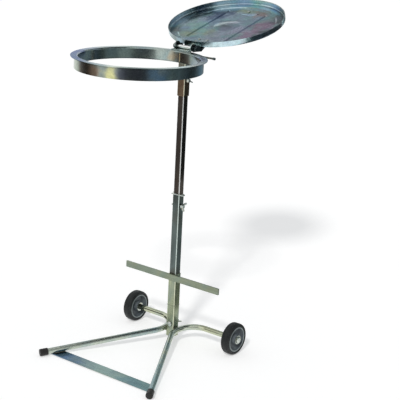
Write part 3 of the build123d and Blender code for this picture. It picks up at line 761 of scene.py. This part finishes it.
spacer_zinc = zinc(
    "spacer_zinc",
    (tone(236, 246, 246), tone(252, 254, 252), tone(228, 240, 240)),
    cloud=30,
    gloss=(0.12, 0.2),
    corner=0.001,
)
dress(spacer_zinc, "hinge_spacer")
dress(ear_zinc, "hinge_bolt", "hinge_washers", "hinge_nut")

# Lid
# A round pan pressed from thin sheet, its rim turned down into a skirt with a small hem. It
# is riveted to its bracket, and a round knob is screwed on near the front edge.
hinge_low, hinge_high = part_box("hinge_spacer")
hinge_y = (hinge_low.y + hinge_high.y) / 2
hinge_z = (hinge_low.z + hinge_high.z) / 2
lid_opened = math.radians(164)
pivot = Matrix.Translation((0, hinge_y, hinge_z))
swing = pivot @ Matrix.Rotation(-lid_opened, 4, "X") @ pivot.inverted()
lid_radius = 0.1805
lid_gap = 0.0003


def lid_spot(x, y, height):
    """A place on the open lid, given as on the shut one: to the right, back, and above its rim"""
    return swing @ Vector((ring_x + x, ring_y + y, ring_top + lid_gap + height))


lid_zinc = zinc(
    "lid_zinc",
    (
        tone(162, 204, 222),
        tone(174, 216, 224),
        tone(180, 204, 226),
        tone(168, 212, 220),
        tone(182, 222, 218),
        tone(162, 196, 224),
    ),
    cloud=7,
    gloss=(0.13, 0.24),
    wave=0.0012,
    corner=0.022,
    nook_shade=0.5,
    # Partly tints of the plating and partly painted reflections and shade, such as the shaded left
    # part of the inside
    patches=[
        (lid_spot(-0.053, 0.043, 0.02), 0.08, tone(178, 236, 228), 0.9),
        (lid_spot(-0.082, 0.097, 0.02), 0.035, tone(206, 214, 170), 0.6),
        (lid_spot(-0.015, 0.068, 0.02), 0.03, tone(204, 208, 176), 0.6),
        (lid_spot(0.02, 0.11, 0.02), 0.06, tone(206, 214, 234), 0.7),
        (lid_spot(-0.073, -0.021, 0.02), 0.06, tone(150, 172, 214), 0.7),
        (lid_spot(-0.09, -0.08, 0.02), 0.055, tone(76, 104, 146), 0.9),
        (lid_spot(-0.008, 0.0, 0.02), 0.04, tone(146, 156, 166), 0.8),
        (lid_spot(0.12, -0.02, 0.02), 0.06, tone(196, 152, 186), 0.8),
        (lid_spot(0.114, 0.061, 0.02), 0.06, tone(210, 172, 206), 0.8),
        (lid_spot(0.055, 0.03, 0.02), 0.05, tone(212, 218, 244), 0.8),
        (lid_spot(0.051, -0.118, 0.02), 0.03, tone(206, 168, 158), 0.7),
        (lid_spot(-0.009, -0.116, 0.02), 0.035, tone(210, 222, 176), 0.7),
        (lid_spot(-0.138, 0.116, 0.0), 0.05, tone(134, 148, 150), 1.0),
        (lid_spot(-0.076, 0.163, 0.006), 0.035, tone(134, 150, 146), 0.9),
        (lid_spot(0.09, 0.155, 0.008), 0.07, tone(214, 238, 244), 0.95),
        (lid_spot(0.168, 0.0, 0.012), 0.045, tone(84, 96, 100), 0.9),
        (lid_spot(0.15, -0.07, 0.014), 0.03, tone(84, 92, 98), 0.8),
        (lid_spot(0.0, 0.18, 0.008), 0.07, tone(206, 226, 226), 0.8),
        (lid_spot(0.176, 0.045, 0.008), 0.04, tone(104, 118, 122), 0.9),
        (lid_spot(-0.17, -0.02, 0.012), 0.06, tone(222, 244, 255), 0.95),
        (lid_spot(-0.11, -0.14, 0.012), 0.05, tone(210, 230, 236), 0.8),
        (lid_spot(0.03, -0.178, 0.012), 0.05, tone(206, 224, 236), 0.8),
        (lid_spot(0.12, -0.13, 0.012), 0.05, tone(122, 130, 136), 0.8),
    ],
)
dress(lid_zinc, "lid_pan")
dress(bolt_zinc, "lid_rivets", "knob_screw")
dress(cap_plastic, "lid_knob")
rim_zinc = zinc(
    "rim_zinc",
    (tone(206, 214, 208), tone(226, 232, 226), tone(190, 200, 200)),
    gloss=(0.14, 0.24),
    # Painted shade over the left side of the lid's edge
    patches=[(lid_spot(-0.17, 0.06, 0.0), 0.14, tone(122, 134, 134), 0.9)],
)
hem_radius = 0.001
hem_reach = lid_radius - 0.00105
hem_middle = Vector((ring_x, ring_y, ring_top + 0.0014))
hem_line = []
for i in range(241):
    t = 2 * math.pi * i / 240
    out = Vector((math.sin(t), math.cos(t), 0)) * hem_reach
    hem_line.append(swing @ (hem_middle + out))
mesh_piece("lid_hem", *sweep(hem_line, [hem_radius] * len(hem_line)), rim_zinc, "lid", 80)

# Floor, light and camera
# A pale floor runs out of sight under a white sky. One fairly soft lamp stands in front, a little
# to the right and forty degrees up. Curved cards round the stand are seen only as reflections.
scene = bpy.context.scene
scene.view_settings.view_transform = "Standard"


def bare_tree(owner):
    """The empty node tree of a material or of the sky"""
    owner.use_nodes = True
    owner.node_tree.nodes.clear()
    return owner.node_tree


def looked_at(tree, *more):
    """1 for what the camera sees, straight or mirrored, and 0 for light that falls on a piece"""
    rays = add(tree, "ShaderNodeLightPath").outputs
    found = rays["Is Camera Ray"]
    for kind in ("Is Glossy Ray", *more):
        found = reckon(tree, "MAXIMUM", found, rays[kind])
    return found


sky = bpy.data.worlds.new("sky")
scene.world = sky
tree = bare_tree(sky)
soft = add(tree, "ShaderNodeBackground", {"Color": (0.96, 0.98, 1.0, 1), "Strength": 0.5})
white = add(tree, "ShaderNodeBackground", {"Color": (1, 1, 1, 1), "Strength": 1.0})
seen = looked_at(tree, "Is Transmission Ray")
mixed = add(tree, "ShaderNodeMixShader", {"Fac": seen, 1: soft.outputs[0], 2: white.outputs[0]})
add(tree, "ShaderNodeOutputWorld", {"Surface": mixed.outputs[0]})

floor_paint = bpy.data.materials.new("floor_paint")
tree = bare_tree(floor_paint)
matt = add(tree, "ShaderNodeBsdfDiffuse", {"Color": (0.8, 0.8, 0.8, 1)})
glow = add(tree, "ShaderNodeEmission", {"Color": (1, 1, 1, 1), "Strength": 0.38})
nothing = add(tree, "ShaderNodeEmission", {"Color": (0, 0, 0, 1), "Strength": 0.0})
seen = looked_at(tree)
chosen = add(tree, "ShaderNodeMixShader", {"Fac": seen, 1: nothing.outputs[0], 2: glow.outputs[0]})
total = add(tree, "ShaderNodeAddShader", {0: matt.outputs[0], 1: chosen.outputs[0]})
add(tree, "ShaderNodeOutputMaterial", {"Surface": total.outputs[0]})
floor_reach = 40.0
floor_corners = [
    (-floor_reach, -floor_reach, 0),
    (floor_reach, -floor_reach, 0),
    (floor_reach, floor_reach, 0),
    (-floor_reach, floor_reach, 0),
]
floor_data = bpy.data.meshes.new("floor")
floor_data.from_pydata(floor_corners, [], [(0, 1, 2, 3)])
floor_data.materials.append(floor_paint)
floor = bpy.data.objects.new("floor", floor_data)
floor.location.z = -0.0003
scene.collection.objects.link(floor)


def card(name, distance, stops):
    """A curved card round the stand, seen only as a reflection.

    Each stop has an angle, from the front towards the right, the card's foot and top there, and
    how bright it is in red, green and blue
    """
    paint = bpy.data.materials.new(name)
    tree = bare_tree(paint)
    colour = add(tree, "ShaderNodeVertexColor", layer_name="shade").outputs["Color"]
    grey = add(tree, "ShaderNodeEmission", {"Color": colour, "Strength": 1.0})
    add(tree, "ShaderNodeOutputMaterial", {"Surface": grey.outputs[0]})
    points, faces, shades = [], [], []
    strip = 3
    for (start, foot, top, first), (end, next_foot, next_top, last) in zip(stops, stops[1:]):
        steps = max(1, round((end - start) / strip))
        for i in range(steps + 1):
            part = i / steps
            t = math.radians(start + (end - start) * part)
            for z in (foot + (next_foot - foot) * part, top + (next_top - top) * part):
                points.append((distance * math.sin(t), -distance * math.cos(t), z))
                shades.append([a + (b - a) * part for a, b in zip(first, last)] + [1])
            if i:
                n = len(points)
                faces.append((n - 4, n - 2, n - 1, n - 3))
    data = bpy.data.meshes.new(name)
    data.from_pydata(points, [], faces)
    layer = data.color_attributes.new("shade", "FLOAT_COLOR", "POINT")
    for n, shade in enumerate(shades):
        layer.data[n].color = shade
    data.materials.append(paint)
    made = bpy.data.objects.new(name, data)
    scene.collection.objects.link(made)
    made.visible_camera = False
    made.visible_diffuse = False
    made.visible_shadow = False
    made.visible_transmission = False


def even(start, end, foot, top, colour):
    """The stops of a card that is the same from end to end"""
    return [(start, foot, top, colour), (end, foot, top, colour)]


# Round the front and the sides
card("card_round", 1.5, [
    (-88, 0.0, 1.05, (0.95, 0.95, 0.95)),
    (-79, 0.0, 1.05, (0.82, 0.82, 0.82)),
    (-72, 0.0, 1.05, (0.5, 0.5, 0.5)),
    (-66, 0.0, 1.05, (0.2, 0.2, 0.2)),
    (-60, 0.0, 1.05, (0.14, 0.14, 0.14)),
    (-54, 0.0, 1.05, (0.075, 0.075, 0.075)),
    (-47, 0.0, 1.05, (0.065, 0.065, 0.065)),
    (-43, 0.0, 1.05, (0.14, 0.14, 0.14)),
    (-39.5, 0.0, 1.05, (0.32, 0.32, 0.31)),
    (-30, 0.0, 1.05, (0.36, 0.36, 0.35)),
    (-26, 0.02, 1.05, (1.12, 1.12, 1.12)),
    (1, 0.02, 1.05, (1.12, 1.12, 1.12)),
    (7, 0.3, 1.05, (0.34, 0.35, 0.36)),
    (16, 0.3, 1.05, (0.13, 0.135, 0.14)),
    (28, 0.3, 1.05, (0.1, 0.105, 0.11)),
    (44, 0.3, 1.02, (0.09, 0.1, 0.105)),
    (54, 0.3, 0.97, (0.29, 0.32, 0.33)),
    (68, 0.3, 0.95, (0.32, 0.35, 0.36)),
    (80, 0.42, 0.92, (0.17, 0.2, 0.21)),
    (104, 0.42, 0.9, (0.13, 0.16, 0.17)),
])
# Close by on the right and behind, from the floor up to the hinge
near = 0.44
card("card_near_low", near, even(104, 172, 0.0, 0.42, (0.4, 0.44, 0.44)))
card("card_near_foot", 0.3, even(120, 160, 0.0, 0.12, (0.2, 0.22, 0.2)))
card("card_near_high", near, [
    (98, 0.42, 0.765, (0.05, 0.065, 0.07)),
    (152, 0.42, 0.765, (0.045, 0.055, 0.06)),
    (172, 0.42, 0.765, (0.15, 0.18, 0.19)),
    (188, 0.42, 0.765, (0.24, 0.28, 0.3)),
])
card("card_near_ring", near, [
    (98, 0.765, 0.85, (0.05, 0.065, 0.07)),
    (120, 0.765, 0.85, (0.065, 0.08, 0.085)),
    (137, 0.765, 0.85, (0.16, 0.18, 0.19)),
    (158, 0.765, 0.85, (0.22, 0.28, 0.32)),
    (188, 0.765, 0.85, (0.26, 0.3, 0.32)),
])
card("card_near_lid", near, even(104, 130, 0.85, 0.96, (0.05, 0.065, 0.07)))
# Further off, from the right round the back to the left
card("card_far_right", 1.3, [
    (100, 0.5, 1.0, (0.2, 0.23, 0.24)),
    (112, 0.5, 1.0, (0.085, 0.1, 0.11)),
    (166, 0.5, 1.0, (0.1, 0.12, 0.13)),
])
card("card_back", 1.3, [
    (170, 0.5, 1.02, (0.1, 0.13, 0.14)),
    (184, 0.5, 1.02, (0.2, 0.25, 0.27)),
    (216, 0.5, 1.02, (0.2, 0.24, 0.25)),
])
card("card_behind", 1.65, [
    (-141, 1.04, 1.5, (0.95, 0.96, 0.97)),
    (-137, 1.04, 1.5, (0.5, 0.58, 0.58)),
    (-134.5, 1.04, 1.5, (0.5, 0.58, 0.58)),
    (-132, 1.04, 1.5, (0.96, 0.98, 0.98)),
    (-129, 1.04, 1.5, (0.8, 0.84, 0.88)),
    (-127, 1.04, 1.5, (0.48, 0.54, 0.7)),
    (-118, 1.04, 1.5, (0.48, 0.54, 0.7)),
])
card("card_horizon", 1.7, even(-185, -105, 0.0, 0.33, (0.22, 0.28, 0.29)))
# High up
card("card_ceiling", 1.5, [
    (54, 1.3, 3.3, (0.6, 0.62, 0.64)),
    (70, 1.2, 3.3, (0.06, 0.065, 0.07)),
    (104, 1.2, 3.3, (0.035, 0.04, 0.045)),
    (125, 1.5, 3.3, (0.15, 0.16, 0.17)),
    (150, 1.6, 3.3, (0.3, 0.32, 0.34)),
    (208, 1.6, 3.3, (0.3, 0.32, 0.34)),
])
card("card_top", 0.9, even(70, 225, 2.1, 5.5, (0.04, 0.045, 0.05)))
card("card_over", 1.6, even(-175, -85, 1.75, 4.2, (0.3, 0.31, 0.32)))

key_from = Vector((0.45, -1.09, 1.0))
key_data = bpy.data.lights.new("key", "SUN")
key_data.energy = 1.5
key_data.angle = math.radians(6.5)
key_data.color = (1.0, 0.985, 0.96)
key = bpy.data.objects.new("key", key_data)
key.rotation_mode = "QUATERNION"
key.rotation_quaternion = key_from.to_track_quat("Z", "Y")
scene.collection.objects.link(key)
key.visible_glossy = False

camera_data = bpy.data.cameras.new("camera")
camera_data.lens = 104.18
camera_data.sensor_width = 36
camera_data.clip_end = 200
camera = bpy.data.objects.new("camera", camera_data)
scene.collection.objects.link(camera)
yaw, pitch, roll = (math.radians(v) for v in (36.52, 16.24, 2.98))
back = Vector((math.sin(yaw) * math.cos(pitch), -math.cos(yaw) * math.cos(pitch), math.sin(pitch)))
right = Vector((math.cos(yaw), math.sin(yaw), 0))
up = back.cross(right)
turned_right = right * math.cos(roll) + up * math.sin(roll)
turned_up = up * math.cos(roll) - right * math.sin(roll)
camera_spot = Matrix.Translation((2.08028, -2.68381, 1.46201))
camera_turn = Matrix((turned_right, turned_up, back)).transposed().to_4x4()
camera.matrix_world = camera_spot @ camera_turn
scene.camera = camera
